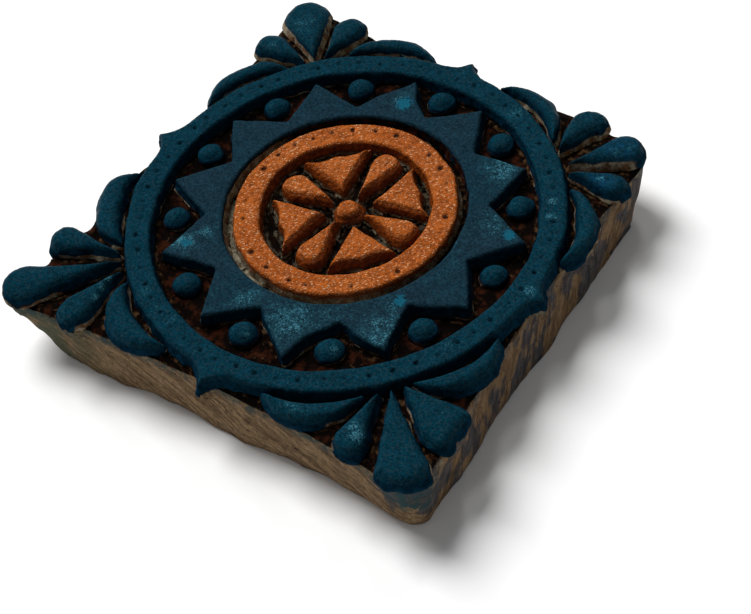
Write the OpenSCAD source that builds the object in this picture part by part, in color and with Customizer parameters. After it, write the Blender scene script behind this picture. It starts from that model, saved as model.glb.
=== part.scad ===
// Wooden textile printing block: a thick hand-cut board that carries a relief of separate wooden pieces.
// Printing face up. The origin is the middle of the back face, +X to the right and +Y to the back.
// Every relief piece stands on the board's ground and is held there by hidden round pins or by its own shank.
// Lists of four values go by corner: front left, front right, back right, back left.

/* [Board] */
// Width across the two front corners
front_w = 126.5; // [112:0.5:140]
// How far the middle of the front edge lies to the right of the block's middle
front_shift = -0.75; // [-1.5:0.05:1.5]
// How much further out the front left corner lies than the front right one
front_skew = 1.5; // [0:0.1:3]
// Width across the two back corners
back_w = 113; // [104:0.5:132]
// How far the middle of the back edge lies to the right of the block's middle
back_shift = 1; // [-1:0.1:2]
// How much further out the back left corner lies than the back right one
back_skew = 0.5; // [-1:0.1:2]
// Distance from the front edge to the back edge, corner to corner
block_d = 121; // [110:0.5:136]
// Depth of the hollow cut into the front, right, back and left side
side_hollow = [3.6, 3.2, 2.6, 3.6]; // [0.5:0.1:3.8]
// Thickness of the board under the relief
board_h = 16.2; // [12:0.2:30]
// Rounding of each corner
corner_r = [5, 7, 14, 6]; // [3:0.5:15]
// How far the worn bevel under the front left corner runs along each edge
worn_left_run = 19; // [8:0.5:22]
// Height at which that bevel meets the front left corner
worn_left_rise = 18; // [4:0.5:18]
// How far the worn bevel under the back right corner runs along each edge
worn_right_run = 18; // [6:0.5:20]
// Height at which that bevel meets the back right corner
worn_right_rise = 26; // [4:0.5:26]

/* [Relief] */
// Height of the printing face above the ground
relief_h = 3.8; // [3.4:0.1:8]
// Width of the narrow groove between the dotted ring and what lies around it
groove = 0.8; // [0.4:0.1:1.5]

/* [Dotted ring] */
// Middle of the ring, to the right of the block's middle
ring_x = 0.9; // [-1:0.1:1.3]
// Middle of the ring, to the back of the block's middle
ring_y = 0.7; // [0.5:0.1:1.5]
// Gap between the ring and the block's edge, taken across the block's narrower way
ring_margin = 4.375; // [3.5:0.125:8]
// Width of the ring
ring_w = 6.6; // [5:0.1:9]
// Number of small pits along the ring
ring_pits = 60; // [24:1:80]
// Radius of the hollow flanks of the four spurs
spur_flank_r = 9; // [5:0.5:14]
// Gap between a spur's point and the board's edge
spur_margin = 0.4; // [0:0.1:1.5]

/* [Star] */
// Middle of the star, to the right of the block's middle
star_x = 0.8; // [-1.2:0.1:1.2]
// Middle of the star, to the back of the block's middle
star_y = 1.8; // [-0.5:0.1:2]
// Gap between the dotted ring and the points
star_gap = 2.4; // [1.5:0.1:4]
// Length of the points, from their tips to the notches between them
star_point_l = 10.7; // [8:0.1:12]
// Width of the star between its notches and its round opening
star_band = 4.8; // [4:0.1:7]

/* [Beads] */
// Middle of the circle of beads, to the right of the block's middle
bead_x = 0.1; // [-0.3:0.1:1.5]
// Middle of the circle of beads, to the back of the block's middle
bead_y = 2.5; // [0.5:0.1:2.6]
// Gap between the dotted ring and the beads
bead_gap = 2.3; // [2.1:0.1:4]
// Radius of a bead
bead_r = 3.1; // [2.2:0.1:3.3]
// Height of a bead's straight foot
bead_foot_h = 1.4; // [0.4:0.1:2]
// Height of a bead's dome above its foot
bead_dome_h = 1.8; // [1:0.1:2.1]

/* [Corner fans] */
// Gap between the dotted ring and the petals' points
petal_gap = 1.2; // [0.5:0.1:3]
// Angle about the ring between the points of neighbouring petals
petal_step = 3; // [2.5:0.1:4]
// Turn of each fan's points about the ring
fan_base_turn = [-1, 1, 0, -2]; // [-4:0.5:4]
// Turn of each fan away from its corner's diagonal
fan_turn = [-1, -4, 2, -1]; // [-6:1:6]
// Angle between neighbouring petals of each fan
fan_spread = [35, 33, 38, 40]; // [30:1:44]
// Width of each fan's first petal, going anticlockwise
first_petal_w = [8, 7.5, 7.5, 8.5]; // [5:0.5:9]
// Width of each fan's middle petal
middle_petal_w = [10.5, 12, 9, 12.5]; // [6:0.5:13]
// Width of each fan's last petal
last_petal_w = [8.5, 12, 8.5, 8]; // [5:0.5:12]
// How far each fan's petals would pass the board's edge before they are cut flush with it
petal_overrun = [-0.5, 2.5, -0.3, -0.5]; // [-1:0.1:4]
// The same for each fan's first petal
first_petal_overrun = [-0.5, -1.5, -0.3, -0.5]; // [-3:0.1:4]
// Radius of the crown across the petals and crescents
crown_r = 16; // [14:1:40]
// Width of the flat land left along the crown
crown_land = 2.4; // [1:0.1:4]
// Angle about the ring that a crescent covers
crescent_span = 24.5; // [18:0.5:26]
// Angle from its spur to the middle of each corner's first crescent
first_crescent_mid = [25, 27, 24.5, 22]; // [20:0.5:28]
// Angle from its spur to the middle of each corner's last crescent
last_crescent_mid = [27.5, 26.5, 23, 27]; // [20:0.5:28]
// Greatest width of each corner's first crescent
first_crescent_w = [8.2, 7, 6.6, 6.6]; // [5:0.1:8.5]
// Greatest width of each corner's last crescent
last_crescent_w = [8.4, 7, 6, 6.8]; // [5:0.1:8.5]
// How far a crescent's inner edge is hollowed away from the groove
crescent_hollow = 1.6; // [0.4:0.1:2]
// Distance from a crescent's inner edge to the middle of its pin
crescent_pin_in = 2; // [1.8:0.1:2.4]

/* [Medallion] */
// Middle of the medallion, to the right of the block's middle
medallion_x = 0; // [-1:0.1:1]
// Middle of the medallion, to the back of the block's middle
medallion_y = 2.5; // [1:0.1:3]
// Gap between the star and the medallion's ring
medallion_gap = 2.5; // [1:0.1:4]
// Width of the medallion's ring at its top
medallion_w = 6.5; // [4:0.1:8]
// How much the ring's inner wall leans in towards its foot
medallion_lean = 0.3; // [0.1:0.1:0.4]
// Number of small pits along the medallion's ring
medallion_pits = 30; // [8:1:40]
// Middle of the flower inside the ring, to the right of the ring's middle
flower_x = 0.9; // [-0.9:0.1:0.9]
// Middle of the flower inside the ring, to the back of the ring's middle
flower_y = 0.4; // [-0.4:0.1:0.4]
// Radius of the hub in the middle of the flower
hub_r = 4; // [2.5:0.1:4.2]
// Radius of the flat top of the hub
hub_top_r = 2.8; // [1:0.1:3]
// Gap between the hub and the point of a teardrop
teardrop_hub_gap = 0.4; // [0.2:0.1:3]
// Gap between the round end of a teardrop and the medallion's ring
teardrop_ring_gap = 2; // [1.2:0.1:5]
// Gap left for the teardrop beside each tulip petal
flower_gap = 1.7; // [1:0.1:2.5]
// Gap between the hub and the point of a tulip petal
tulip_hub_gap = 2; // [1.6:0.1:4]
// Gap between the two outer corners of a tulip petal and the medallion's ring
tulip_ring_gap = 1.4; // [1.2:0.1:4]
// Angle between the two outer corners of a tulip petal, seen from the middle
tulip_angle = 51; // [40:1:52]
// Depth of the two hollows in the outer edge of a tulip petal
tulip_hollow = 1; // [0.3:0.1:2]
// Width of the flat left between those two hollows
tulip_land = 0.6; // [0.3:0.1:1.5]
// Width of the bevel round the teardrops and tulip petals
petal_bevel = 0.5; // [0.2:0.1:1.2]
// Height of that bevel
petal_bevel_h = 0.8; // [0.3:0.1:1.5]

/* [Pits] */
// Radius of a pit's mouth
pit_r = 0.7; // [0.4:0.1:1.2]
// Depth of a pit
pit_depth = 0.6; // [0.3:0.1:1]

/* [Pins and shanks] */
// Diameter of a locating pin
pin_d = 2.4; // [1.5:0.1:3]
// Length of a pin inside the board
pin_in_board = 4; // [2:0.5:4.5]
// Length of a pin inside the relief
pin_in_relief = 1.8; // [1:0.1:2]
// Number of pins under the dotted ring
ring_pins = 8; // [3:1:16]
// Number of points of the star from one pin under it to the next
star_pin_step = 2; // [1:1:4]
// Number of pins under the medallion's ring
medallion_pins = 6; // [3:1:12]
// Diameter of the shank under a bead or the hub
shank_d = 3.4; // [2:0.1:4]
// Length of the shank
shank_l = 8; // [4:0.5:10]
// Room around a pin or shank in its hole
fit_clear = 0.05; // [0.02:0.01:0.15]
// Room past the end of a pin or shank in its hole
end_clear = 0.2; // [0.1:0.1:0.5]

/* [Hidden] */
$fn = 64;

// Names of the corners, in the order of the lists above
CORNERS = ["front_left", "front_right", "back_right", "back_left"];
// Number of corners, of spurs between them and of medallion petals of each kind
sides = 4;
// Number of points of the star, with a bead in each notch between them
star_points = 12;
// Number of petals in a corner's fan, of which the middle one points into the corner
fan_petals = 3;
// Number of crescents in a corner
corner_crescents = 2;
// Angle from one side or corner to the next
quarter = 360 / sides;
// Facets of the rounded ends inside a hull
hull_fn = 32;
// Facets of the wide arcs along the sides
hollow_fn = 720;
// Overlap of a cutting shape past the face that it cuts
cut = 1;
// Longer than anything on the block
far = 400;

ring_mid = [ring_x, ring_y];
star_mid = [star_x, star_y];
bead_mid = [bead_x, bead_y];
medallion_mid = [medallion_x, medallion_y];
flower_mid = medallion_mid + [flower_x, flower_y];

// Radii from the outside in: dotted ring, star, beads and medallion
ring_out_r = min((front_w + back_w) / 2, block_d) / 2 - ring_margin;
ring_in_r = ring_out_r - ring_w;
star_tip_r = ring_in_r - star_gap;
star_notch_r = star_tip_r - star_point_l;
star_bore_r = star_notch_r - star_band;
bead_circle_r = ring_in_r - bead_gap - bead_r;
medallion_out_r = star_bore_r - medallion_gap;
medallion_in_r = medallion_out_r - medallion_w;
teardrop_in_r = hub_r + teardrop_hub_gap;
teardrop_out_r = medallion_in_r - teardrop_ring_gap;
tulip_in_r = hub_r + tulip_hub_gap;
tulip_out_r = medallion_in_r - tulip_ring_gap;

// Radii of the lines of pits and pins
ring_line_r = (ring_out_r + ring_in_r) / 2;
medallion_line_r = (medallion_out_r + medallion_in_r) / 2;
star_pin_r = (star_bore_r + star_tip_r) / 2;
groove_r = ring_out_r + groove;

// Wood colours
teal = "#1f4653";
orange = "#a85a2a";
tan_wood = "#8a6d50";
pale_wood = "#c0a078";

// Corners of the block in plan, going anticlockwise from the front left
board_corners = [
    [front_shift - front_w / 2, -(block_d + front_skew) / 2],
    [front_shift + front_w / 2, -(block_d - front_skew) / 2],
    [back_shift + back_w / 2, (block_d - back_skew) / 2],
    [back_shift - back_w / 2, (block_d + back_skew) / 2]
];

// Plane geometry
function unit(v) = v / norm(v);
function polar(r, a) = [r * cos(a), r * sin(a)];
function next(i) = (i + 1) % sides;
function previous(i) = (i + sides - 1) % sides;
function edge_direction(i) = unit(board_corners[next(i)] - board_corners[i]);
function edge_normal(i) = [edge_direction(i)[1], -edge_direction(i)[0]];
function edge_offset(i) = edge_normal(i) * board_corners[i];

// Rounded corner i of the board: half its angle, the middle of its arc and the two ends of the arc
function half_angle(i) = acos(edge_direction(i) * -edge_direction(previous(i))) / 2;
function arc_middle(i) =
    board_corners[i]
    + unit(edge_direction(i) - edge_direction(previous(i))) * corner_r[i] / sin(half_angle(i));
function arc_ends(i) =
    let (run = corner_r[i] / tan(half_angle(i)))
    [board_corners[i] - edge_direction(previous(i)) * run, board_corners[i] + edge_direction(i) * run];

// Distance from point p in direction a to the straight edge i of the block, and to its rounded corner i
function edge_reach(p, a, i) =
    let (along = edge_normal(i) * polar(1, a))
    along > 0 ? (edge_offset(i) - edge_normal(i) * p) / along : far;
function corner_reach(p, a, i) =
    let (
        gap = arc_middle(i) - p,
        along = gap * polar(1, a),
        square = corner_r[i] * corner_r[i] - gap * gap + along * along,
        far_side = square > 0 ? along + sqrt(square) : far,
        out = polar(far_side, a) - gap
    )
    out * edge_direction(i) < 0 && out * edge_direction(previous(i)) > 0 ? far_side : far;
// Distance from point p to the block's outline in direction a
function reach(p, a) = min([
    for (i = [0 : sides - 1])
        min(edge_reach(p, a, i), corner_reach(p, a, i))
]);

// Arc that hollows side i of the board
function hollow_r(i) =
    let (half = norm(board_corners[next(i)] - board_corners[i]) / 2)
    (half * half + side_hollow[i] * side_hollow[i]) / (2 * side_hollow[i]);
function hollow_middle(i) =
    (board_corners[i] + board_corners[next(i)]) / 2 + edge_normal(i) * (hollow_r(i) - side_hollow[i]);

// Direction of a spur and of a corner, seen from the middle of the ring
function spur_angle(i) = i * quarter;
function corner_angle(c) = spur_angle(c + sides / 2) + quarter / 2;

// Radius of a spur's point
function spur_r(i) = reach(ring_mid, spur_angle(i)) - spur_margin;
// Angle from a spur to the place where its hollow flank runs into the ring
function flank_angle(i) =
    let (m = ring_out_r + spur_flank_r)
    acos((m * m + spur_r(i) * spur_r(i) - spur_flank_r * spur_flank_r) / (2 * m * spur_r(i)));

// Petal k of corner c, counted anticlockwise from 0: place in the fan, width, point, direction and length
function petal_place(k) = k - (fan_petals - 1) / 2;
function petal_w(c, k) =
    petal_place(k) == 0 ? middle_petal_w[c] : petal_place(k) < 0 ? first_petal_w[c] : last_petal_w[c];
function petal_point(c, k) =
    let (turn = fan_base_turn[c] + petal_place(k) * petal_step)
    ring_mid + polar(ring_out_r + petal_gap, corner_angle(c) + turn);
function petal_direction(c, k) = corner_angle(c) + fan_turn[c] + petal_place(k) * fan_spread[c];
function petal_past(c, k) = petal_place(k) < 0 ? first_petal_overrun[c] : petal_overrun[c];
function petal_length(c, k) = reach(petal_point(c, k), petal_direction(c, k)) + petal_past(c, k);
function petal_spot(c, k, along) = petal_point(c, k) + polar(along, petal_direction(c, k));

// Crescent k of corner c: its width, the angle of its middle, and the places of its crown and its pin
function crescent_w(c, k) = k == 0 ? first_crescent_w[c] : last_crescent_w[c];
function crescent_angle(c, k) =
    corner_angle(c) + (k == 0 ? first_crescent_mid[c] - quarter / 2 : quarter / 2 - last_crescent_mid[c]);
function crescent_spot(c, k) = ring_mid + polar(groove_r + crescent_w(c, k) / 2, crescent_angle(c, k));
function crescent_pin_spot(c, k) =
    ring_mid + polar(groove_r + crescent_hollow + crescent_pin_in, crescent_angle(c, k));

// Circle through both ends of a crescent and through a place w outside the groove at its middle
crescent_half_chord = groove_r * sin(crescent_span / 2);
function crescent_rise(w) = groove_r + w - groove_r * cos(crescent_span / 2);
function crescent_r(w) =
    let (rise = crescent_rise(w))
    (crescent_half_chord * crescent_half_chord + rise * rise) / (2 * rise);

// Teardrop of the medallion: width that fits between two tulip petals, and the place of its pin
teardrop_room = sin((quarter - tulip_angle) / 2);
teardrop_w = 2 * (teardrop_out_r * teardrop_room - flower_gap) / (1 + teardrop_room);
teardrop_pin_r = teardrop_out_r - teardrop_w / 2;

// Tulip petal: its outer edge, the place of its pin, the arcs of its hollows and the angle of its flanks
tulip_edge_r = tulip_out_r * cos(tulip_angle / 2);
tulip_pin_r = (tulip_in_r + 2 * tulip_edge_r) / 3;
tulip_half_w = tulip_out_r * sin(tulip_angle / 2);
tulip_half_chord = (tulip_half_w - tulip_land) / 2;
tulip_hollow_r = (tulip_half_chord * tulip_half_chord + tulip_hollow * tulip_hollow) / (2 * tulip_hollow);
tulip_flank = atan2(tulip_half_w, tulip_edge_r - tulip_in_r);

// Height of the printing face above the axis of the crown
crown_drop = sqrt(crown_r * crown_r - crown_land * crown_land / 4);

// Radius of the ball that cuts a pit, and of the ball that makes a bead's dome
pit_ball_r = (pit_r * pit_r + pit_depth * pit_depth) / (2 * pit_depth);
bead_ball_r = (bead_r * bead_r + bead_dome_h * bead_dome_h) / (2 * bead_dome_h);

// Places of the pins in plan, piece by piece
ring_pin_spots = [for (i = [0 : ring_pins - 1]) ring_mid + polar(ring_line_r, (i + 0.5) * 360 / ring_pins)];
star_pin_spots = [
    for (i = [0 : star_pin_step : star_points - 1])
        star_mid + polar(star_pin_r, (i + 0.5) * 360 / star_points)
];
medallion_pin_spots = [
    for (i = [0 : medallion_pins - 1])
        medallion_mid + polar(medallion_line_r, (i + 0.5) * 360 / medallion_pins)
];
function petal_pin_spot(c, k) =
    petal_spot(c, k, petal_length(c, k) - max(petal_past(c, k), 0) - petal_w(c, k) / 2);
petal_pin_spots = [for (c = [0 : sides - 1], k = [0 : fan_petals - 1]) petal_pin_spot(c, k)];
crescent_pin_spots = [for (c = [0 : sides - 1], k = [0 : corner_crescents - 1]) crescent_pin_spot(c, k)];
teardrop_pin_spots = [for (i = [0 : sides - 1]) flower_mid + polar(teardrop_pin_r, i * quarter)];
tulip_pin_spots = [for (i = [0 : sides - 1]) flower_mid + polar(tulip_pin_r, (i + 0.5) * quarter)];
pin_spots = concat(
    ring_pin_spots, star_pin_spots, medallion_pin_spots, petal_pin_spots,
    crescent_pin_spots, teardrop_pin_spots, tulip_pin_spots
);

// Places of the beads and the hub, whose shanks go into the board
function bead_spot(i) = bead_mid + polar(bead_circle_r, i * 360 / star_points);
shank_spots = concat([for (i = [0 : star_points - 1]) bead_spot(i)], [flower_mid]);

// Plan of the block with straight sides and rounded corners, which no piece passes
module block_plan() {
    polygon([for (i = [0 : sides - 1]) each arc_ends(i)]);
    for (i = [0 : sides - 1])
        translate(arc_middle(i)) circle(corner_r[i]);
}

// Plan of the board: the same, with each side hollowed by a wide arc from corner to corner
module board_plan() {
    difference() {
        block_plan();
        for (i = [0 : sides - 1])
            translate(hollow_middle(i)) circle(hollow_r(i), $fn = hollow_fn);
    }
}

// Wedge that the worn bevel takes off under corner i
module worn_corner(i, run, rise) {
    inset = run * cos(half_angle(i));
    slope = atan2(rise, inset);
    translate(board_corners[i])
        rotate([0, 0, corner_angle(i)])
            translate([-inset, 0, 0])
                rotate([0, -slope, 0])
                    translate([-far / 2, -far / 2, -far])
                        cube(far);
}

// Hole for a pin or shank, going down from the ground
module board_hole(spot, d, depth) {
    translate([spot[0], spot[1], board_h - depth - end_clear])
        cylinder(d = d + 2 * fit_clear, h = depth + end_clear + cut);
}

// Holes for pins in the underside of a relief piece
module relief_holes(spots) {
    for (spot = spots)
        translate([spot[0], spot[1], board_h - cut])
            cylinder(d = pin_d + 2 * fit_clear, h = pin_in_relief + end_clear + cut);
}

// Row of round pits in the printing face
module pits(middle, r, count) {
    for (i = [0 : count - 1])
        translate([each middle + polar(r, i * 360 / count), board_h + relief_h - pit_depth + pit_ball_r])
            sphere(pit_ball_r);
}

// Relief piece of full height with the plan of its children, kept inside the block's edge
module relief_plan(h = relief_h) {
    translate([0, 0, board_h])
        linear_extrude(h)
            intersection() {
                children();
                block_plan();
            }
}

// Lying cylinder that gives a petal or crescent its crown, along a line through the given spot
module crown(spot, direction) {
    translate([spot[0], spot[1], board_h + relief_h - crown_drop])
        rotate([0, 90, direction])
            cylinder(r = crown_r, h = far, center = true);
}

// Teardrop in plan, with its point at the origin and its round end along +X
module teardrop_plan(length, w, fn = $fn) {
    r = w / 2;
    middle = length - r;
    lean = asin(r / middle);
    side = middle * cos(lean);
    polygon([[0, 0], polar(side, -lean), polar(side, lean)]);
    translate([middle, 0]) rotate(180) circle(r, $fn = fn);
}

// Spur i of the dotted ring in plan, about the ring's middle
module spur_plan(i) {
    flank = flank_angle(i);
    m = ring_out_r + spur_flank_r;
    rotate(spur_angle(i))
        difference() {
            polygon([[0, 0], polar(m, -flank), [spur_r(i), 0], polar(m, flank)]);
            for (side = [-1, 1])
                translate(polar(m, side * flank)) circle(spur_flank_r);
        }
}

// Tulip petal in plan before its hollows are cut, shrunk evenly by inset
module tulip_plan(inset) {
    point = tulip_in_r + inset / sin(tulip_flank);
    edge = tulip_edge_r - inset;
    half = (edge - point) * tan(tulip_flank);
    polygon([[point, 0], [edge, -half], [edge, half]]);
}

module block_body() {
    color(tan_wood)
        difference() {
            linear_extrude(board_h) board_plan();
            worn_corner(0, worn_left_run, worn_left_rise);
            worn_corner(2, worn_right_run, worn_right_rise);
            for (spot = pin_spots)
                board_hole(spot, pin_d, pin_in_board);
            for (spot = shank_spots)
                board_hole(spot, shank_d, shank_l);
        }
}

module dotted_ring() {
    color(teal)
        difference() {
            relief_plan()
                translate(ring_mid)
                    difference() {
                        union() {
                            circle(ring_out_r);
                            for (i = [0 : sides - 1])
                                spur_plan(i);
                        }
                        circle(ring_in_r);
                    }
            pits(ring_mid, ring_line_r, ring_pits);
            relief_holes(ring_pin_spots);
        }
}

module star_ring() {
    half_step = 180 / star_points;
    color(teal)
        difference() {
            relief_plan()
                difference() {
                    translate(star_mid)
                        polygon([
                            for (i = [0 : star_points - 1])
                                each [
                                    polar(star_notch_r, 2 * i * half_step),
                                    polar(star_tip_r, (2 * i + 1) * half_step)
                                ]
                        ]);
                    translate(medallion_mid) circle(star_bore_r);
                }
            relief_holes(star_pin_spots);
        }
}

module bead(i) {
    color(teal)
        translate([each bead_spot(i), board_h]) {
            translate([0, 0, -shank_l]) cylinder(d = shank_d, h = shank_l);
            cylinder(r = bead_r, h = bead_foot_h);
            intersection() {
                translate([0, 0, bead_foot_h + bead_dome_h - bead_ball_r]) sphere(bead_ball_r);
                cylinder(r = bead_r, h = bead_foot_h + bead_dome_h);
            }
        }
}

module petal(c, k) {
    length = petal_length(c, k);
    w = petal_w(c, k);
    color(teal)
        difference() {
            intersection() {
                relief_plan()
                    translate(petal_point(c, k))
                        rotate(petal_direction(c, k))
                            teardrop_plan(length, w);
                crown(petal_point(c, k), petal_direction(c, k));
            }
            relief_holes([petal_pin_spot(c, k)]);
        }
}

module crescent(c, k) {
    w = crescent_w(c, k);
    outer_r = crescent_r(w);
    inner_r = crescent_r(crescent_hollow);
    a = crescent_angle(c, k);
    color(teal)
        difference() {
            intersection() {
                relief_plan()
                    translate(ring_mid)
                        difference() {
                            translate(polar(groove_r + w - outer_r, a)) circle(outer_r);
                            translate(polar(groove_r + crescent_hollow - inner_r, a)) circle(inner_r);
                        }
                crown(crescent_spot(c, k), crescent_angle(c, k) + quarter);
            }
            relief_holes([crescent_pin_spot(c, k)]);
        }
}

module medallion_ring() {
    color(orange)
        difference() {
            relief_plan()
                translate(medallion_mid)
                    circle(medallion_out_r);
            translate([each medallion_mid, board_h])
                cylinder(r1 = medallion_in_r - medallion_lean, r2 = medallion_in_r, h = relief_h);
            pits(medallion_mid, medallion_line_r, medallion_pits);
            relief_holes(medallion_pin_spots);
        }
}

module medallion_hub() {
    color(orange)
        translate([each flower_mid, board_h]) {
            translate([0, 0, -shank_l]) cylinder(d = shank_d, h = shank_l);
            cylinder(r1 = hub_r, r2 = hub_top_r, h = relief_h);
        }
}

module teardrop(i) {
    length = teardrop_out_r - teardrop_in_r;
    color(orange)
        difference() {
            translate([each flower_mid, board_h])
                rotate(i * quarter)
                    hull() {
                        translate([teardrop_in_r, 0, 0])
                            linear_extrude(relief_h - petal_bevel_h)
                                teardrop_plan(length, teardrop_w, hull_fn);
                        translate([teardrop_in_r + 2 * petal_bevel, 0, 0])
                            linear_extrude(relief_h)
                                teardrop_plan(length - 3 * petal_bevel, teardrop_w - 2 * petal_bevel, hull_fn);
                    }
            relief_holes([teardrop_pin_spots[i]]);
        }
}

module tulip(i) {
    hollow_x = tulip_edge_r - tulip_hollow + tulip_hollow_r;
    color(orange)
        difference() {
            translate([each flower_mid, board_h])
                rotate((i + 0.5) * quarter)
                    difference() {
                        hull() {
                            linear_extrude(relief_h - petal_bevel_h) tulip_plan(0);
                            linear_extrude(relief_h) tulip_plan(petal_bevel);
                        }
                        for (side = [-1, 1])
                            translate([hollow_x, side * tulip_half_w / 2, -cut])
                                cylinder(r = tulip_hollow_r, h = relief_h + 2 * cut);
                    }
            relief_holes([tulip_pin_spots[i]]);
        }
}

module locating_pins() {
    color(pale_wood)
        for (spot = pin_spots)
            translate([spot[0], spot[1], board_h - pin_in_board])
                cylinder(d = pin_d, h = pin_in_board + pin_in_relief);
}

block_body();
dotted_ring();
star_ring();
for (i = [0 : star_points - 1])
    bead(i);
for (c = [0 : sides - 1], k = [0 : fan_petals - 1])
    petal(c, k);
for (c = [0 : sides - 1], k = [0 : corner_crescents - 1])
    crescent(c, k);
medallion_ring();
medallion_hub();
for (i = [0 : sides - 1])
    teardrop(i);
for (i = [0 : sides - 1])
    tulip(i);
locating_pins();
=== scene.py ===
import math

import bmesh
import bpy
import numpy as np
from mathutils import Matrix, Vector
from mathutils.kdtree import KDTree


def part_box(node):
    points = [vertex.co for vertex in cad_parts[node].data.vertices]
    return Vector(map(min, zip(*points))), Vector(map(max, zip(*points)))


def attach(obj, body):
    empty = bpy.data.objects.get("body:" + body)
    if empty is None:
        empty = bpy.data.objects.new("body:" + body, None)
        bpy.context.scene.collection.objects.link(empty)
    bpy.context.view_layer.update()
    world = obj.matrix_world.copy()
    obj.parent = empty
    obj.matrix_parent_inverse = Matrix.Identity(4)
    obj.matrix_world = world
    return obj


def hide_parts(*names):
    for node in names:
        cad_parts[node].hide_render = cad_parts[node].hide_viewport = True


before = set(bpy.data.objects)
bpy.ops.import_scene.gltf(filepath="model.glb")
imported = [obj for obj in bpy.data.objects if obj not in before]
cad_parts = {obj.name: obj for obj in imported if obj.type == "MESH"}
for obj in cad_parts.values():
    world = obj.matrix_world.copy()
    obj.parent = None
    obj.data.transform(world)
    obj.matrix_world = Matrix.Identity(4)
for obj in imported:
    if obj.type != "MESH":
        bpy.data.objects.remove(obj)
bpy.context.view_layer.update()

bl_info = {
    "name": "Carved printing block",
    "version": (1, 0, 0),
    "blender": (4, 5, 0),
    "location": "View3D > Sidebar > Printing block",
    "description": "Carves and dyes a wooden textile printing block around its packed solids",
    "category": "Object",
}

# Millimetres in a metre: shapes are worked out in millimetres
MM = 1000.0

CORNERS = ("front_left", "front_right", "back_right", "back_left")
PETALS = [f"petal_{corner}_{k}" for corner in CORNERS for k in (1, 2, 3)]
CRESCENTS = [f"crescent_{corner}_{k}" for corner in CORNERS for k in (1, 2)]
BEADS = [f"bead_{i}" for i in range(1, 13)]
FLOWER = [f"{kind}_{i}" for kind in ("teardrop", "tulip") for i in range(1, 5)]

# Level of the ground and height of the relief above it
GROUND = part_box("star_ring")[0].z * MM
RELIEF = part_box("star_ring")[1].z * MM - GROUND


def middle_of(node):
    """Middle of a CAD node in plan, in millimetres."""
    low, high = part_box(node)
    return np.array([(low.x + high.x) / 2, (low.y + high.y) / 2]) * MM


MEDALLION_MIDDLE = middle_of("medallion_ring")
MEDALLION_R = (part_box("medallion_ring")[1].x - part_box("medallion_ring")[0].x) / 2 * MM

# Middle and radius of the line of pits that the CAD has along each ring
RING_MIDDLE = np.array([0.9, 0.7])
RING_LINE = (RING_MIDDLE, 52.2)
MEDALLION_LINE = (MEDALLION_MIDDLE, 25.25)
# Where the carver set the pits of the medallion: their circle, and angles of deep and nearly worn ones
MEDALLION_PITS_R = 26.1
DEEP_PITS = (
    19.4, 56.4, 68.9, 95.0, 106.5, 120.7, 132.4, 143.8, 155.2,
    166.1, 178.4, 217.5, 241.9, 257.4, 273.1, 284.1, 308.4, 334.2,
)
FAINT_PITS = (7.5, 31.5, 44.0, 82.0, 190.5, 204.0, 229.5, 296.0, 321.0, 346.0)

# Walls that face this way in plan lean back
WORN_SIDE = np.array([0.7, -0.7])
# Share of the wall's height that is scraped bare, on pieces that are scraped all along their feet
SCRAPED = {
    "petal_back_right_1": 0.3, "petal_back_right_2": 0.75, "petal_back_right_3": 0.4,
    "petal_back_left_1": 0.55, "petal_back_left_2": 0.65, "petal_back_left_3": 0.42,
    "petal_front_left_1": 0.42, "crescent_back_left_1": 0.58, "crescent_back_left_2": 0.58,
    "crescent_back_right_1": 0.25, "crescent_back_right_2": 0.42,
}
# Places where the cut strays from the drawn shape: start of the pieces' names, with none for all pieces,
# then x, y, shift in x and y, and radius
STRAYS = (
    ("star_ring", 35.4, -33.1, 1.5, 1.2, 5.0), ("star_ring", -11.3, 45.2, 2.6, 0.5, 5.0),
    ("star_ring", 15.4, -44.8, 1.6, -0.6, 5.0), ("star_ring", 47.8, -12.6, -1.2, -0.1, 5.0),
    ("star_ring", -30.9, -31.6, -0.5, -0.6, 5.0), ("star_ring", -43.1, -10.7, -0.5, -0.3, 5.0),
    ("star_ring", 19.5, -30.7, 1.7, 0.8, 4.0),
    ("petal_back_right_3", 38.7, 51.0, -2.4, 0.2, 9.0), ("petal_back_right_3", 40.7, 41.1, -1.4, 2.0, 4.5),
    ("block_body", -58.8, -31.6, 2.6, 0.0, 4.0), ("block_body", -60.5, -46.8, 2.4, 0.2, 3.5),
    ("block_body", 46.1, 59.6, -0.6, -2.4, 4.0),
    ("petal_front_left_2", -61.0, -52.5, -0.2, 1.0, 5.0), ("", -60.0, -17.0, -2.0, 0.6, 9.0),
    ("", -50.0, 54.0, -0.5, 0.9, 17.0),
)
# How far the foot of the front side stands out at each x, and that of the right side at each y
FRONT_FOOT = (
    (-62, -1.7), (-55, -0.6), (-48, 0.6), (-37, 1.6), (-27, 2.1), (-21, 1.3), (-12, 1.7),
    (-5, 1.8), (3, 2.3), (11, 2.6), (18, 1.2), (25, 0.8), (32, 0.2), (50, 0.0),
)
RIGHT_FOOT = (
    (-52, 0.0), (-47, 0.6), (-41, 1.6), (-33, 2.0), (-26, 1.2), (-19, 1.8), (-12, 1.4), (-5, 2.6),
    (1, 3.4), (10, 2.3), (18, 2.3), (30, 1.8), (41, 1.4), (47, 1.0), (54, 0.4), (60, 0.0),
)

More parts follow.
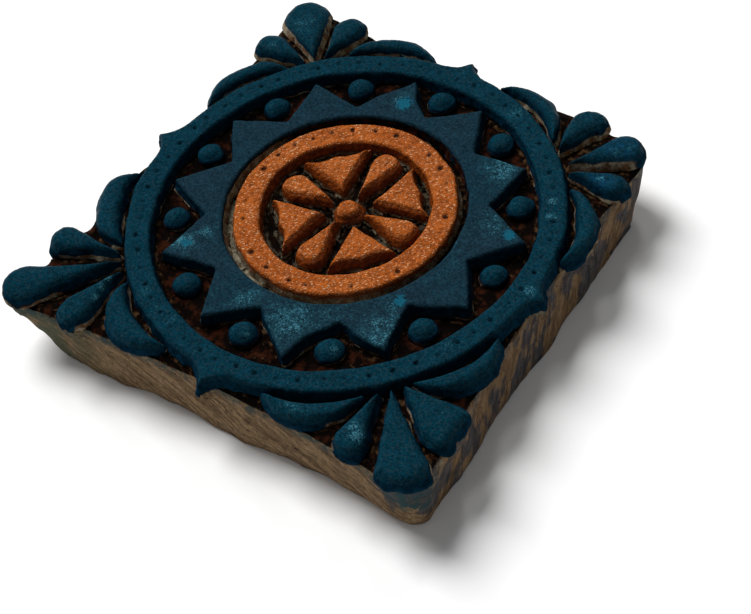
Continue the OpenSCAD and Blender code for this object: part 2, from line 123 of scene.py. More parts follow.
# Patches where hands and cloth have rubbed the dye thin, and small spots of painted highlight and glint along
# ridges and tops: x, y, radius and strength
RUBBED_AND_HIGHLIT = (
    (-29.4, -26.2, 3.6, 0.9), (-26.0, -21.0, 3.0, 0.7), (-4.2, -33.4, 5.0, 0.6), (9.5, -34.0, 8.0, 0.75),
    (17.6, -28.6, 6.0, 0.5), (31.0, -26.0, 7.0, 0.75), (28.6, -19.0, 5.0, 0.5), (28.2, 30.8, 4.6, 0.85),
    (41.2, 13.8, 2.2, 0.6), (36.6, 15.2, 4.6, 0.65), (-8.6, 39.2, 3.0, 0.6), (-28.1, -43.2, 1.6, 0.5),
    (-22.2, -45.9, 1.5, 0.55), (-16.9, -47.6, 1.6, 0.45), (-38.8, -44.6, 1.2, 1.0), (-38.5, -47.4, 1.2, 1.0),
    (-38.2, -50.8, 1.4, 1.0), (1.9, -41.6, 1.2, 0.8),
    (42.3, -53.0, 3.2, 0.95), (47.4, -21.9, 2.2, 0.5), (44.8, 27.8, 1.3, 0.95), (47.2, 23.5, 1.3, 0.95),
    (54.7, 0.9, 2.4, 0.7), (21.1, 49.3, 2.6, 0.45), (23.6, -35.5, 1.6, 0.9), (4.0, -31.0, 13.0, 0.30),
    (33.0, 2.0, 10.0, 0.22), (33.0, 26.0, 9.0, 0.2), (-50.4, 40.9, 1.8, 0.55), (-48.2, 52.0, 3.6, 0.62),
    (50.8, 49.4, 2.0, 0.6), (52.6, 52.2, 1.8, 0.6), (51.3, 39.8, 1.6, 0.75), (54.5, 39.2, 1.4, 0.45),
    (25.4, -54.2, 4.5, 0.42),
)
# Patches of purer blue dye, and spots of painted bright blue-green highlight
BLUE = ((50.9, 51.5, 3.4, 0.7), (51.7, 40.0, 3.0, 0.9), (45.0, 38.0, 2.5, 0.4))
BRIGHT_HIGHLIGHTS = ((-6.7, 39.0, 2.4, 1.0), (41.3, 13.6, 1.8, 1.0), (29.5, -16.3, 1.7, 1.0), (-28.4, -26.2, 1.8, 0.8))
# Small knots in the front side: x and z
KNOTS = ((-36.9, 12.9), (-9.9, 13.7), (11.8, 9.1), (25.6, 7.3), (35.0, 12.6))

# Distances from the board's edge up to which a wall counts fully, and then at all, as an outer one
EDGE_ZONE = (3.5, 5.0)
# How far in from its edge a leaning piece draws back, and how often that shift is smoothed
LEAN_REACH = 4.5
LEAN_ROUNDS = 25
# Depth of a full pit, and depth and size of the pebbles on the orange pieces
PIT_DEPTH = 0.8
PEBBLE_DEPTH = 0.07
PEBBLE_SIZE = 0.9
# Where the groove round the medallion begins and ends, beyond the medallion's edge
GROOVE_START = (0.8, 1.4)
GROOVE_END = (3.0, 3.8)
# Direction from the medallion, in radians, of the side where that groove is scraped bare
BARE_SIDE = 4.2
# Smoothing rounds for the whole board and for its foot
BOARD_ROUNDS = 14
FOOT_ROUNDS = 8
# Width and mean drop of the board's worn rim
RIM_WIDTH = 2.5
RIM_DROP = 1.1
# How deep the bottom edge of the sides is worn, and how high up
BOTTOM_WEAR = 0.9
BOTTOM_HEIGHT = 3.0
# Distance from the board's middle at which its front and right sides begin, and where they hold fully
SIDE_START = (40.0, 50.0)
# Gap between the block and the floor, in metres
FLOOR_GAP = 0.0001


# Shape tools

def lattice(i, j, k, seed):
    """Repeatable value from -1 to 1 at whole-number places."""
    h = (i * 374761393 + j * 668265263 + k * 1103515245 + seed * 974634457) & 0xFFFFFFFF
    h = ((h ^ (h >> 13)) * 1274126177) & 0xFFFFFFFF
    return ((h ^ (h >> 16)) & 0xFFFF) / 32767.5 - 1.0


def ripple(points, size, seed):
    """Smooth noise from -1 to 1 with bumps of about the given size at each point."""
    place = points / size
    base = np.floor(place).astype(np.int64)
    part = place - base
    part = part * part * (3.0 - 2.0 * part)
    total = np.zeros(len(points))
    for corner in range(8):
        step = np.array([corner & 1, corner >> 1 & 1, corner >> 2 & 1])
        weight = np.where(step, part, 1.0 - part).prod(axis=1)
        total += weight * lattice(*(base + step).T, seed)
    return total


def ease(value, low, high):
    """0 below low, 1 above high, smooth between."""
    t = np.clip((value - low) / (high - low), 0.0, 1.0)
    return t * t * (3.0 - 2.0 * t)


def read_points(mesh):
    points = np.empty(len(mesh.vertices) * 3, np.float32)
    mesh.vertices.foreach_get("co", points)
    return points.reshape(-1, 3).astype(float) * MM


def write_points(mesh, points):
    mesh.vertices.foreach_set("co", (points / MM).astype(np.float32).ravel())
    mesh.update()


def read_normals(mesh):
    normals = np.empty(len(mesh.vertices) * 3, np.float32)
    mesh.vertex_normals.foreach_get("vector", normals)
    return normals.reshape(-1, 3).astype(float)


def read_edges(mesh):
    edges = np.empty(len(mesh.edges) * 2, np.int32)
    mesh.edges.foreach_get("vertices", edges)
    return edges.reshape(-1, 2)


def softened(points, edges, rounds, strength=0.5):
    """Points pulled towards their neighbours, which rounds sharp edges."""
    a, b = edges.T
    count = np.bincount(edges.ravel(), minlength=len(points))[:, None]
    for _ in range(rounds):
        pull = np.stack([
            np.bincount(a, points[b, k], len(points)) + np.bincount(b, points[a, k], len(points))
            for k in range(3)
        ], axis=1)
        points = points + strength * (pull / count - points)
    return points


def nearest(points, targets):
    """Which target lies nearest to each point in plan, and how far away."""
    tree = KDTree(len(targets))
    for i, target in enumerate(targets):
        tree.insert((target[0], target[1], 0.0), i)
    tree.balance()
    found = [tree.find((x, y, 0.0)) for x, y in points[:, :2]]
    return np.array([hit[1] for hit in found]), np.array([hit[2] for hit in found])


def patches(points, spots):
    """Strength of the strongest soft round patch at each point."""
    strongest = np.zeros(len(points))
    for x, y, radius, strength in spots:
        away = np.hypot(points[:, 0] - x, points[:, 1] - y)
        strongest = np.maximum(strongest, strength * np.exp(-(away / radius) ** 2))
    return strongest


def wall_line(node, tall):
    """Points along the line where a CAD node's walls of at least a height meet the level of the ground."""
    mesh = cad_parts[node].data
    points = read_points(mesh)
    line = []
    for polygon in mesh.polygons:
        spots = points[list(polygon.vertices)]
        ends = spots[np.abs(spots[:, 2] - GROUND) < 0.05]
        if abs(polygon.normal.z) < 0.3 and np.ptp(spots[:, 2]) > tall and len(ends) == 2:
            steps = 2 + int(np.linalg.norm(ends[1] - ends[0]))
            line.extend(ends[0] + (ends[1] - ends[0]) * t for t in np.linspace(0.0, 1.0, steps))
    return np.array(line)


def board_rim():
    """Points along the upper edge of the board's sides."""
    line = wall_line("block_body", 6.0)
    return line[np.hypot(line[:, 0], line[:, 1]) > 50.0]


def even_copy(parts, name, voxel):
    """New object with an even, dense mesh around CAD nodes, each lowered by a length."""
    build = bmesh.new()
    for node, lower in parts:
        first = len(build.verts)
        build.from_mesh(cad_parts[node].data)
        build.verts.ensure_lookup_table()
        for vertex in build.verts[first:]:
            vertex.co.z -= lower
    rough = bpy.data.meshes.new(name + "_rough")
    build.to_mesh(rough)
    build.free()
    piece = bpy.data.objects.new(name, rough)
    bpy.context.scene.collection.objects.link(piece)
    even = piece.modifiers.new("even", "REMESH")
    even.mode = "VOXEL"
    even.voxel_size = voxel
    graph = bpy.context.evaluated_depsgraph_get()
    piece.data = bpy.data.meshes.new_from_object(piece.evaluated_get(graph))
    piece.modifiers.clear()
    bpy.data.meshes.remove(rough)
    piece.data.name = name
    piece.data.materials.clear()
    if len(piece.data.vertices) < 50:
        raise RuntimeError(f"the mesh of {name} came out empty")
    return piece


def keep_values(mesh, **values):
    """Stores named values on the mesh's points for its material."""
    for name, data in values.items():
        layer = mesh.attributes.new(name, "FLOAT", "POINT")
        layer.data.foreach_set("value", np.asarray(data, np.float32))


def hand_wobble(points, amount):
    """The same unsteady hand for all pieces, so that neighbours keep their gaps."""
    moved = points.copy()
    for axis in (0, 1):
        moved[:, axis] += amount * (
            0.7 * ripple(points, 11.0, 11 + axis)
            + 0.45 * ripple(points, 4.5, 21 + axis)
            + 0.22 * ripple(points, 1.9, 31 + axis)
        )
    return moved


def hand_pits(middle, radius, turns, depth, seed):
    """Places and depths of pits set by eye at the given angles along a ring."""
    numbers = np.arange(len(turns))
    noise = [lattice(numbers, numbers * 0 + k, numbers * 0, seed) for k in range(3)]
    turns = np.radians(turns) + 0.012 * noise[0]
    radius = radius + 0.35 * noise[1]
    spots = middle + np.stack([radius * np.cos(turns), radius * np.sin(turns)], axis=1)
    return spots, np.asarray(depth) * (0.75 + 0.25 * noise[2])


def fill_pits(points, normals, line):
    """Closes the CAD's pits, because those cut by hand lie elsewhere."""
    middle, radius = line
    near = np.abs(np.hypot(*(points[:, :2] - middle).T) - radius) < 1.3
    drawn = near & (points[:, 2] > GROUND + RELIEF - 1.0)
    points[drawn, 2] = GROUND + RELIEF
    normals[drawn] = (0.0, 0.0, 1.0)


def strayed(points, node):
    """Points moved to where the cut strays from the drawn shape."""
    moved = points.copy()
    for name, x, y, dx, dy, radius in STRAYS:
        if node.startswith(name):
            share = np.exp(-((points[:, 0] - x) ** 2 + (points[:, 1] - y) ** 2) / radius ** 2)
            moved[:, :2] += share[:, None] * (dx, dy)
    return moved


def hollowed(points, depth):
    """Shift that hollows a crescent's inner edge away from the ring, most in its middle."""
    apart = points[:, :2] - RING_MIDDLE
    far = np.linalg.norm(apart, axis=1)
    turn = np.arctan2(apart[:, 1], apart[:, 0])
    middle = (turn.min() + turn.max()) / 2
    across = (turn - middle) / (np.ptp(turn) / 2)
    inner = 1.0 - np.clip((far - far.min()) / (0.9 * np.ptp(far)), 0.0, 1.0)
    return apart / far[:, None] * (depth * inner * (1.0 - across ** 2))[:, None]


def settle(piece, node, material):
    """Gives a finished piece its material and its place in the frame, and hides the CAD node it stands in
    for.
    """
    piece.data.materials.append(material)
    piece.data.polygons.foreach_set("use_smooth", np.ones(len(piece.data.polygons), bool))
    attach(piece, "root")
    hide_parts(node)


def sunk_pits(points, upward, pits, seed):
    """How deep each point lies in a pit, from 0 to 1."""
    spots, depth = pits
    number, near = nearest(points, spots)
    wide = bpy.context.scene.printblock_carving.pit * MM * (0.8 + 0.3 * depth[number])
    near = near * (1.0 + 0.3 * ripple(points, 0.8, seed + 8))
    return upward * depth[number] * ease(1.0 - near / wide, 0.0, 0.9)


def worn_feet(points, height, outer, node, bare, seed):
    """Where walls are scraped bare, up to the given share of their height, and where they take the ground's
    colours, low down and in the groove round the medallion.
    """
    bare = SCRAPED.get(node, bare)
    feet = (1.0 - ease(height + 0.10 * ripple(points, 2.2, seed + 6), 0.6 * bare, bare)) * (1.0 - outer)
    if node not in SCRAPED:
        feet *= ease(ripple(points, 5.0, seed + 4), -0.25, 0.35)
    apart = points[:, :2] - MEDALLION_MIDDLE
    beyond = np.hypot(*apart.T) - MEDALLION_R
    groove = ease(beyond, *GROOVE_START) * (1.0 - ease(beyond, *GROOVE_END))
    bare_side = ease(np.cos(np.arctan2(apart[:, 1], apart[:, 0]) - BARE_SIDE), -0.2, 0.5)
    feet = np.maximum(feet, groove * bare_side * (1.0 - ease(height, 0.6, 0.8)))
    dirt = np.maximum(1.0 - ease(height, 0.04, 0.34), groove * (1.0 - ease(height, 0.70, 0.88)))
    return feet, dirt * (1.0 - outer)


def carve(node, kind, edge_round, drop=0.9, seed=1, line=None, pits=None, pebble=0.0, bare=0.2,
          rim_from=2.3, lean=0.0, hollow=0.0, grey=0.0):
    """Relief piece with rounded edges, leaning and flared walls and the marks of hand work."""
    carving = bpy.context.scene.printblock_carving
    piece = even_copy([(node, 0.0)], node + "_carved", carving.relief_voxel)
    mesh = piece.data
    points = read_points(mesh)
    edges = read_edges(mesh)
    normals = read_normals(mesh)
    if line:
        fill_pits(points, normals, line)
    level = np.linalg.norm(normals[:, :2], axis=1)
    outward = normals[:, :2] / np.maximum(level, 1e-6)[:, None]
    wall = ease(level, 0.5, 0.9)
    upward = ease(normals[:, 2], 0.35, 0.8)
    rim = (wall > 0.5) & (points[:, 2] > GROUND + rim_from)
    number, away = nearest(points, points[rim])
    facing = outward[rim][number]
    edge_of_board = nearest(points, board_rim())[1]
    from_middle = points[:, :2] / np.maximum(np.hypot(points[:, 0], points[:, 1]), 1.0)[:, None]
    outer = (1.0 - ease(edge_of_board, *EDGE_ZONE)) * ease((facing * from_middle).sum(axis=1), 0.1, 0.5)

    height = np.clip((points[:, 2] - GROUND) / RELIEF, 0.0, 1.0)
    soft = edge_round * MM * (1.0 + 0.8 * outer)
    inset = np.clip(soft - away, 0.0, soft)
    points[:, 2] -= height * drop * (soft - np.sqrt(soft * soft - inset * inset))
    points = softened(points, edges, 2)

    height = np.clip((points[:, 2] - GROUND) / RELIEF, 0.0, 1.0)
    shift = np.zeros_like(points)
    if lean:
        back = lean * MM * height ** 2 * ease(facing @ WORN_SIDE, 0.0, 0.7)
        back *= ease(1.0 - away / LEAN_REACH, 0.0, 1.0)
        shift[:, :2] -= facing * (back * (1.0 - outer))[:, None]
    if hollow:
        shift[:, :2] += hollowed(points, hollow * MM) * height[:, None] ** 2
    if shift.any():
        points += softened(shift, edges, LEAN_ROUNDS)
    flare = carving.foot_flare * MM * (1.0 - height) ** 2 * (1.0 + 0.8 * ripple(points, 2.6, seed))
    chisel = 0.14 * ripple(points * [1.0, 1.0, 0.3], 1.6, seed + 1)
    points[:, :2] += outward * (wall * (flare + chisel))[:, None]
    points[:, 2] += upward * (0.14 * ripple(points, 6.0, seed + 2) + 0.06 * ripple(points, 2.0, seed + 3))

    sunk = np.zeros(len(points))
    if pits:
        sunk = sunk_pits(points, upward, pits, seed)
        points[:, 2] -= PIT_DEPTH * sunk
    if pebble:
        points[:, 2] += upward * (1.0 - sunk) * pebble * ripple(points, PEBBLE_SIZE, seed + 5)
    feet, dirt = worn_feet(points, height, outer, node, bare, seed)

    points[:, 2] = np.where(points[:, 2] < GROUND + 0.1, points[:, 2] - carving.sink * MM, points[:, 2])
    points = hand_wobble(strayed(points, node), carving.wobble * MM)
    write_points(mesh, points)
    # The rubbed patches hold painted highlights as well as thin dye, and the bright spots are painted
    # highlights
    keep_values(
        mesh, height=height, face=upward, pit=sunk, bare=feet, dirt=dirt, grey=np.full(len(points), grey),
        rubbed=patches(points, RUBBED_AND_HIGHLIT), blue=patches(points, BLUE), bright=patches(points, BRIGHT_HIGHLIGHTS),
    )
    settle(piece, node, finish_for(kind))


# Material tools

class Finish:
    """A material being mixed from nodes, with lengths in millimetres."""

    def __init__(self, name):
        self.material = bpy.data.materials.new(name)
        self.material.use_nodes = True
        self.tree = self.material.node_tree
        self.tree.nodes.clear()
        spot = self.add("ShaderNodeTexCoord").outputs["Object"]
        self.spot = self.shaded(spot, MM)

    def add(self, kind, inputs=None, **settings):
        node = self.tree.nodes.new(kind)
        for key, value in settings.items():
            setattr(node, key, value)
        for key, value in (inputs or {}).items():
            self.plug(node.inputs[key], value)
        return node

    def plug(self, socket, value):
        if isinstance(value, bpy.types.NodeSocket):
            self.tree.links.new(value, socket)
        else:
            socket.default_value = value

    def kept(self, name):
        """Value stored on the mesh's points."""
        return self.add("ShaderNodeAttribute", attribute_name=name).outputs["Fac"]

    def along(self, turn, stretch):
        """Places turned and drawn out, for grain."""
        return self.add("ShaderNodeMapping", {
            "Vector": self.spot, "Rotation": turn, "Scale": stretch,
        }, vector_type="TEXTURE").outputs[0]

    def noise(self, size, detail=2.0, rough=0.5, at=None):
        return self.add("ShaderNodeTexNoise", {
            "Vector": at or self.spot, "Scale": 1.0 / size, "Detail": detail, "Roughness": rough,
        }).outputs["Fac"]

    def between(self, value, low, high, to_low=0.0, to_high=1.0):
        return self.add("ShaderNodeMapRange", {
            0: value, 1: low, 2: high, 3: to_low, 4: to_high,
        }, interpolation_type="SMOOTHSTEP").outputs[0]

    def times(self, first, *others):
        for other in others:
            first = self.add("ShaderNodeMath", {0: first, 1: other}, operation="MULTIPLY").outputs[0]
        return first

    def plus(self, first, *others):
        for other in others:
            first = self.add("ShaderNodeMath", {0: first, 1: other}, operation="ADD").outputs[0]
        return first

    def blend(self, share, a, b):
        """Value that goes from a to b with the share."""
        return self.plus(self.times(a, self.without(share)), self.times(b, share))

    def without(self, value):
        return self.add("ShaderNodeMath", {0: 1.0, 1: value}, operation="SUBTRACT").outputs[0]

    def mix(self, share, a, b):
        node = self.add("ShaderNodeMix", data_type="RGBA")
        for socket, value in ((0, share), (6, a), (7, b)):
            if socket and not isinstance(value, bpy.types.NodeSocket):
                value = (*value, 1.0)
            self.plug(node.inputs[socket], value)
        return node.outputs[2]

    def vector(self, operation, first, second):
        return self.add("ShaderNodeVectorMath", {0: first, 1: second}, operation=operation).outputs[0]

    def shaded(self, colour, value):
        """Colour made darker or lighter by a value."""
        return self.add("ShaderNodeVectorMath", {0: colour, "Scale": value}, operation="SCALE").outputs[0]

    def bump(self, height, depth):
        return self.add("ShaderNodeBump", {"Height": height, "Distance": depth / MM}).outputs["Normal"]

    def done(self, colour, roughness, normal, gloss):
        surface = self.add("ShaderNodeBsdfPrincipled", {
            "Base Color": colour, "Roughness": roughness, "Normal": normal, "Specular IOR Level": gloss,
        })
        self.add("ShaderNodeOutputMaterial", {"Surface": surface.outputs[0]})
        return self.material


def bare_wood(f, dyes):
    """Scraped wood, from grey-beige to brown."""
    wood = f.mix(f.between(f.noise(2.2, 3.0), 0.40, 0.62), tuple(dyes.bare_wood), tuple(dyes.bare_brown))
    return f.shaded(wood, f.between(f.noise(0.7, 3.0, 0.6), 0.3, 0.7, 0.68, 1.25))


def teal_finish(dyes):
    """Worn blue-green dye over wood: pebbled tops with painted glints and highlights, smooth walls in a
    darker colour that is partly painted shade, pits painted dark as shade, and bare wood at the feet.
    """
    f = Finish("teal_dye")
    face = f.kept("face")
    leather = f.noise(0.6, 3.0, 0.62)
    grain = f.noise(0.5, 2.0, 0.6, f.along((0.0, 0.0, -0.75), (6.0, 1.0, 1.0)))
    mottle = f.noise(2.4, 4.0, 0.6)
    cloud = f.noise(18.0, 2.0)
    speck = f.noise(0.42, 1.0)

    greyed = f.times(f.kept("grey"), f.between(cloud, 0.3, 0.7, 0.6, 1.0))
    top = f.mix(greyed, tuple(dyes.teal), tuple(dyes.teal_grey))
    top = f.shaded(top, f.between(mottle, 0.25, 0.75, 0.82, 1.20))
    top = f.shaded(top, f.between(leather, 0.30, 0.70, 0.66, 1.30))
    top = f.shaded(top, f.between(grain, 0.30, 0.70, 0.88, 1.12))
    haze = f.between(f.noise(0.8, 4.0, 0.7), 0.46, 0.66)
    top = f.mix(f.times(haze, 0.65), top, tuple(dyes.teal_haze))
    top = f.mix(f.times(f.kept("blue"), f.between(mottle, 0.35, 0.6), 0.8), top, tuple(dyes.pure_blue))
    # Rubbed patches: turquoise where the dye is thin, and painted highlight on ridges and tops
    rub = f.between(f.plus(f.kept("rubbed"), f.between(mottle, 0.3, 0.75, -0.2, 0.2)), 0.06, 0.95)
    worn = f.plus(f.times(leather, 0.6), f.times(grain, 0.4))
    top = f.mix(f.times(rub, f.between(worn, 0.40, 0.58, 0.06, 0.62)), top, tuple(dyes.turquoise))
    # Painted glints: flecks on the tops, turquoise, and pale in the rubbed patches
    glint_fleck = f.between(f.plus(speck, f.times(rub, 0.22)), 0.69, 0.78)
    top = f.mix(f.times(glint_fleck, 0.75), top, f.mix(rub, tuple(dyes.turquoise), tuple(dyes.pale_glint)))
    # Painted highlights: spots of bright blue-green
    bright = f.between(f.plus(f.kept("bright"), f.between(leather, 0.3, 0.7, -0.3, 0.3)), 0.40, 0.62)
    top = f.mix(f.times(bright, 0.9), top, tuple(dyes.bright))
    # Painted shade inside the pits
    top = f.mix(f.between(f.kept("pit"), 0.0, 0.7, 0.0, 0.9), top, tuple(dyes.pit))

    # Walls get a darker colour than the tops, partly painted shade
    side = f.shaded(tuple(dyes.teal_wall_shaded), f.between(f.noise(1.4, 4.0, 0.6), 0.3, 0.7, 0.55, 1.45))
    # Walls take the ground's colours low down and in the groove round the medallion
    ground_colour = f.mix(f.between(f.noise(2.0, 3.0), 0.4, 0.62), tuple(dyes.dark_ground_and_shade), tuple(dyes.ground_red))
    side = f.mix(f.times(f.kept("dirt"), f.between(f.noise(1.2, 3.0, 0.6), 0.28, 0.48)), side, ground_colour)
    patchy = f.between(f.noise(1.5, 4.0, 0.6), 0.28, 0.44)
    side = f.mix(f.times(f.between(f.kept("bare"), 0.2, 0.7), patchy), side, bare_wood(f, dyes))
    colour = f.mix(face, side, top)

    rough = f.blend(face, 0.92, f.between(f.plus(mottle, f.times(rub, -0.5)), 0.0, 0.7, 0.18, 0.42))
    relief = f.plus(leather, f.times(grain, 0.3), f.times(mottle, 0.8))
    return f.done(colour, rough, f.bump(relief, 0.20), 0.015)


def orange_finish(dyes):
    """Pebbled, slightly glossy orange-brown dye, with painted glints on the tops, walls painted darker as
    shade, and pits painted dark as shade.
    """
    f = Finish("orange_dye")
    height, face = f.kept("height"), f.kept("face")
    pebble = f.noise(0.85, 2.0, 0.55)
    fine = f.noise(0.4, 2.0, 0.6)
    cloud = f.noise(6.0, 3.0)
    top = f.mix(f.between(cloud, 0.3, 0.7), tuple(dyes.orange), tuple(dyes.orange_deep))
    top = f.shaded(top, f.between(pebble, 0.3, 0.7, 0.68, 1.20))
    top = f.shaded(top, f.between(fine, 0.3, 0.7, 0.72, 1.22))
    # Painted glints: pale flecks on the tops
    spark = f.noise(0.30, 1.0, 0.5, f.along((0.0, 0.0, 0.9), (2.4, 1.0, 1.0)))
    top = f.mix(f.times(f.between(spark, 0.60, 0.72), 0.75), top, tuple(dyes.orange_glint))
    # Painted shade inside the pits
    top = f.mix(f.between(f.kept("pit"), 0.05, 0.55), top, tuple(dyes.orange_pit_shade))
    # Walls painted darker than the tops as shade, and darker towards the foot
    side = f.mix(f.between(height, 0.12, 0.5), tuple(dyes.dark_ground_and_shade), tuple(dyes.orange_wall_shaded))
    side = f.shaded(side, f.between(f.noise(1.1, 3.0), 0.3, 0.7, 0.6, 1.4))
    apart = f.vector("SUBTRACT", f.spot, (*MEDALLION_MIDDLE, 0.0))
    level = f.vector("MULTIPLY", apart, (1.0, 1.0, 0.0))
    out = f.add("ShaderNodeVectorMath", {0: level}, operation="LENGTH").outputs["Value"]
    outer = f.between(out, MEDALLION_R - 1.6, MEDALLION_R - 0.6)
    patchy = f.between(f.noise(1.6, 4.0, 0.65), 0.30, 0.48)
    scraped = f.times(outer, patchy, f.without(f.between(height, 0.45, 0.75)))
    side = f.mix(scraped, side, bare_wood(f, dyes))
    low = f.without(f.between(height, 0.12, 0.34))
    flower = f.times(f.without(outer), f.between(f.noise(1.3, 3.0), 0.40, 0.52), low)
    side = f.mix(f.times(flower, 0.85), side, bare_wood(f, dyes))
    colour = f.mix(face, side, top)
    relief = f.plus(pebble, f.times(fine, 0.4))
    return f.done(colour, f.between(pebble, 0.3, 0.75, 0.30, 0.16), f.bump(relief, 0.46), 0.18)


def board_finish(dyes):
    """Bare hand-cut wood at the sides, with dye stains, and a dark dirty ground with painted shade at the
    feet of the relief.
    """
    f = Finish("board_wood")
    slope, upright, right = (0.0, 0.5, 0.0), (-0.6, 0.0, 0.0), f.kept("right")
    fibre = f.noise(0.32, 4.0, 0.68, f.along(slope, (5.0, 1.4, 1.0)))
    fibre = f.blend(right, fibre, f.noise(0.34, 4.0, 0.68, f.along(upright, (1.0, 1.0, 11.0))))
    streak = f.noise(1.3, 3.0, 0.6, f.along(slope, (9.0, 1.8, 1.0)))
    streak = f.blend(right, streak, f.noise(1.4, 3.0, 0.6, f.along(upright, (1.0, 1.0, 5.0))))
    cloud = f.noise(13.0, 3.0)
    wood = f.mix(f.between(streak, 0.34, 0.66), tuple(dyes.side_dark), tuple(dyes.side_wood))
    strong, calm = f.between(fibre, 0.30, 0.70, 0.45, 1.52), f.between(fibre, 0.30, 0.70, 0.62, 1.34)
    wood = f.shaded(wood, f.blend(right, strong, calm))
    wood = f.mix(f.times(right, 0.25), wood, tuple(dyes.bare_brown))
    green = f.times(f.kept("green"), f.between(f.noise(5.0, 4.0, 0.6), 0.3, 0.6))
    wood = f.mix(green, wood, tuple(dyes.side_green))
    blot = f.noise(5.5, 3.0, 0.55, f.along(upright, (1.0, 1.0, 1.6)))
    spread = f.plus(f.between(blot, 0.32, 0.68, -0.65, 0.65), f.between(streak, 0.3, 0.7, 0.14, -0.14))
    stain = f.between(f.plus(f.kept("stain"), spread), 0.24, 0.74)
    stain = f.times(stain, f.between(f.kept("stain"), 0.0, 0.3), f.between(fibre, 0.25, 0.60, 0.95, 0.65))
    wood = f.mix(stain, wood, f.shaded(tuple(dyes.dye_stain), f.between(streak, 0.3, 0.7, 0.7, 1.3)))
    nick = f.between(f.noise(0.8, 3.0, 0.6), 0.60, 0.68)
    wood = f.mix(f.times(nick, 0.65), wood, tuple(dyes.ground_red))
    wood = f.mix(f.times(f.kept("knot"), f.between(f.noise(0.5, 2.0), 0.35, 0.6)), wood, tuple(dyes.knot))
    drip = f.times(f.kept("rim"), f.between(f.noise(2.6, 4.0, 0.6), 0.36, 0.6))
    wood = f.mix(f.times(drip, f.between(right, 0.0, 1.0, 0.9, 0.35)), wood, tuple(dyes.rim_stain))
    chip = f.times(f.kept("rim"), right, f.between(f.noise(1.3, 4.0, 0.66), 0.48, 0.60))
    wood = f.mix(chip, wood, bare_wood(f, dyes))

    dirt = f.noise(3.0, 4.0, 0.62)
    floor = f.mix(f.between(dirt, 0.46, 0.68), tuple(dyes.dark_ground_and_shade), tuple(dyes.ground_red))
    chips = f.between(f.noise(1.6, 4.0, 0.66), 0.58, 0.70)
    floor = f.mix(f.times(chips, f.between(cloud, 0.42, 0.62), 0.7), floor, tuple(dyes.ground_pale))
    foot, well = f.kept("foot"), f.kept("well")
    # Painted shade: the ground darkens towards the feet of the relief pieces
    floor = f.mix(f.between(foot, 0.15, 0.75, 0.0, 0.85), floor, tuple(dyes.dark_ground_and_shade))
    floor = f.mix(f.times(well, 0.8), floor, tuple(dyes.dark_ground_and_shade))
    scrape = f.between(f.plus(f.noise(2.0, 3.0, 0.6), f.times(well, 0.05)), 0.48, 0.66)
    ash = f.shaded(tuple(dyes.bare_wood), f.between(f.noise(0.8, 3.0, 0.6), 0.3, 0.7, 0.45, 1.1))
    edge = f.mix(well, tuple(dyes.ground_pale), f.shaded(bare_wood(f, dyes), 0.42))
    floor = f.mix(f.times(scrape, f.between(foot, 0.25, 0.7), 0.8), floor, edge)
    floor = f.mix(f.times(f.kept("strip"), f.between(f.noise(1.7, 4.0, 0.65), 0.34, 0.50)), floor, ash)
    colour = f.mix(f.kept("ground"), wood, floor)
    relief = f.plus(fibre, f.times(streak, 0.8), f.times(f.noise(0.9, 3.0), 0.5))
    return f.done(colour, f.between(dirt, 0.2, 0.8, 0.6, 0.86), f.bump(relief, 0.28), 0.05)


def pin_finish(dyes):
    """Pale turned wood with fine grain along the pins."""
    f = Finish("pin_wood")
    grain = f.noise(0.4, 3.0, 0.6, f.along((0.0, 0.0, 0.0), (1.0, 1.0, 10.0)))
    colour = f.mix(f.between(grain, 0.3, 0.7), tuple(dyes.pin_dark), tuple(dyes.pin_wood))
    return f.done(colour, f.between(grain, 0.3, 0.7, 0.7, 0.55), f.bump(grain, 0.05), 0.4)


FINISHES = {
    "teal_dye": teal_finish, "orange_dye": orange_finish, "board_wood": board_finish, "pin_wood": pin_finish,
}


def finish_for(kind):
    """The finish of that kind, made when it is first asked for."""
    return bpy.data.materials.get(kind) or FINISHES[kind](bpy.context.scene.printblock_dyes)


# Settings

def length(name, description, default):
    return bpy.props.FloatProperty(
        name=name, description=description, default=default, min=0.0, unit="LENGTH", precision=5,
    )


def dye(name, description, default):
    return bpy.props.FloatVectorProperty(
        name=name, description=description, default=default, size=3, min=0.0, max=1.0, subtype="COLOR",
    )


class PrintBlockCarving(bpy.types.PropertyGroup):
    """Sizes of the hand work."""

    relief_voxel: length("Relief detail", "Mesh size of the relief pieces", 0.00030)
    board_voxel: length("Board detail", "Mesh size of the board", 0.00055)
    teal_round: length("Teal edge", "Rounding along the top edges of the rings, star and beads", 0.0007)
    pillow: length("Pillow", "Rounding along the top edges of the petals and crescents", 0.0016)
    orange_round: length("Orange edge", "Rounding along the top edges of the medallion", 0.0006)
    lean: length("Lean", "How far the leaning walls of petals draw back at their tops", 0.0014)
    hollow: length("Hollow", "Depth of the hollow in the crescents' inner edges", 0.0007)
    foot_flare: length("Foot flare", "How far the walls spread at their feet", 0.0008)
    pit: length("Pit", "Radius of the pits along the rings", 0.00095)
    wobble: length("Wobble", "How unsteady the cut outlines are", 0.00045)
    sink: length("Sink", "How far the relief pieces reach into the uneven ground", 0.0010)
    ground_rough: length("Ground marks", "Depth of the tool marks in the ground", 0.0006)
    side_rough: length("Side marks", "Depth of the unevenness of the sides", 0.0007)


